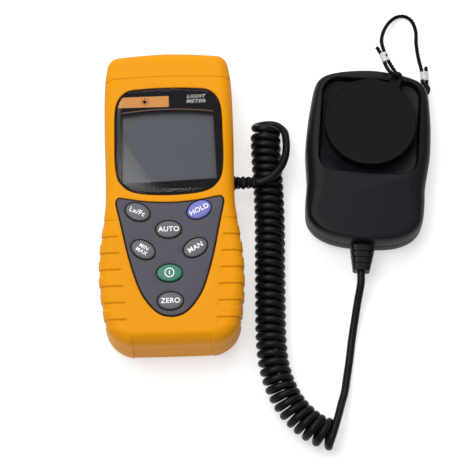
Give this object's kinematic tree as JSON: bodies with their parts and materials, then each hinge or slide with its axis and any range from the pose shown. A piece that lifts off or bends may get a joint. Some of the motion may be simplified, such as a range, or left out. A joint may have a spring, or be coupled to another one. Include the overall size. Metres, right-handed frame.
{
  "type": "light meter",
  "caption": "Handheld light meter with a display and oval keys, joined by a curly lead to a capped sensor head with a cord-kept lens cap.",
  "frame": {"origin": "middle of the meter's flat back, which lies on the surface", "axes": "+Y along the meter towards its display end, +Z out of the display, +X towards the sensor head"},
  "size_m": [0.1694, 0.2288, 0.0346],
  "materials": {
    "yellow_case": "fine-textured yellow-orange moulding",
    "black_case": "fine spark-textured black moulding",
    "lens": "clear moulded window",
    "lens_print": "black print behind the window",
    "lcd": "switched-off grey display",
    "panel": "dark grey fine texture",
    "key_grey": "grey silicone with white legend",
    "key_violet": "violet-blue silicone with white legend",
    "key_green": "green silicone with white symbol",
    "dark_rubber": "matt",
    "board": "green solder mask",
    "steel": "zinc plated",
    "battery": "printed jacket without lettering",
    "cord": "black sheath",
    "opal": "white opal diffuser",
    "filter": "green-tinted correction filter",
    "clear_sleeve": "clear crimp sleeve"
  },
  "bodies": {
    "meter": {"battery_9v": "battery", "battery_snap": "dark_rubber", "battery_stud_minus": "steel", "battery_stud_plus": "steel", "case_screw_1": "steel", "case_screw_2": "steel", "case_screw_3": "steel", "case_screw_4": "steel", "curly_lead": "cord", "display_lens": "lens", "display_mask": "lens_print", "front_cover": "yellow_case", "keypad_panel": "panel", "keypad_sheet": "dark_rubber", "lcd_contact_lower": "dark_rubber", "lcd_contact_upper": "dark_rubber", "lcd_panel": "lcd", "lead_meter": "cord", "main_board": "board", "meter_gland": "cord", "rear_cover": "yellow_case"},
    "key_auto": {"key_auto": "key_grey"},
    "key_hold": {"key_hold": "key_violet"},
    "key_manual": {"key_manual": "key_grey"},
    "key_min_max": {"key_min_max": "key_grey"},
    "key_power": {"key_power": "key_green"},
    "key_unit": {"key_unit": "key_grey"},
    "key_zero": {"key_zero": "key_grey"},
    "battery_door": {"battery_door": "yellow_case"},
    "sensor_head": {"head_front": "black_case", "head_rear": "black_case", "head_relief": "cord", "head_screw_1": "steel", "head_screw_2": "steel", "head_screw_3": "steel", "head_screw_4": "steel", "lead_head": "cord", "diffuser": "opal", "diffuser_ring": "black_case", "light_filter": "filter", "filter_holder": "black_case", "photodiode": "steel", "sensor_board": "board", "keeper_cord": "cord", "keeper_head_loop": "cord", "keeper_head_tail": "cord", "crimp_head": "clear_sleeve"},
    "sensor_cap": {"sensor_cap": "black_case", "keeper_cap_loop": "cord", "keeper_cap_tail": "cord", "crimp_cap": "clear_sleeve"}
  },
  "joints": [
    {"name": "key_auto_press", "type": "slide", "parent": "meter", "child": "key_auto", "axis": [0, 0, -1], "range_m": [0, 0.0008], "stiffness_N_per_m": 700},
    {"name": "key_hold_press", "type": "slide", "parent": "meter", "child": "key_hold", "axis": [0, 0, -1], "range_m": [0, 0.0008], "stiffness_N_per_m": 700},
    {"name": "key_manual_press", "type": "slide", "parent": "meter", "child": "key_manual", "axis": [0, 0, -1], "range_m": [0, 0.0008], "stiffness_N_per_m": 700},
    {"name": "key_min_max_press", "type": "slide", "parent": "meter", "child": "key_min_max", "axis": [0, 0, -1], "range_m": [0, 0.0008], "stiffness_N_per_m": 700},
    {"name": "key_power_press", "type": "slide", "parent": "meter", "child": "key_power", "axis": [0, 0, -1], "range_m": [0, 0.0008], "stiffness_N_per_m": 700},
    {"name": "key_unit_press", "type": "slide", "parent": "meter", "child": "key_unit", "axis": [0, 0, -1], "range_m": [0, 0.0008], "stiffness_N_per_m": 700},
    {"name": "key_zero_press", "type": "slide", "parent": "meter", "child": "key_zero", "axis": [0, 0, -1], "range_m": [0, 0.0008], "stiffness_N_per_m": 700},
    {"name": "battery_door_slide", "type": "slide", "parent": "meter", "child": "battery_door", "axis": [0, -1, 0], "range_m": [0, 0.055]},
    {"name": "head_pull", "type": "slide", "parent": "meter", "child": "sensor_head", "axis": [1, 0, 0], "range_m": [0, 0.035], "stiffness_N_per_m": 8},
    {"name": "cap_lift", "type": "slide", "parent": "sensor_head", "child": "sensor_cap", "axis": [0, 0, 1], "range_m": [0, 0.03]}
  ]
}
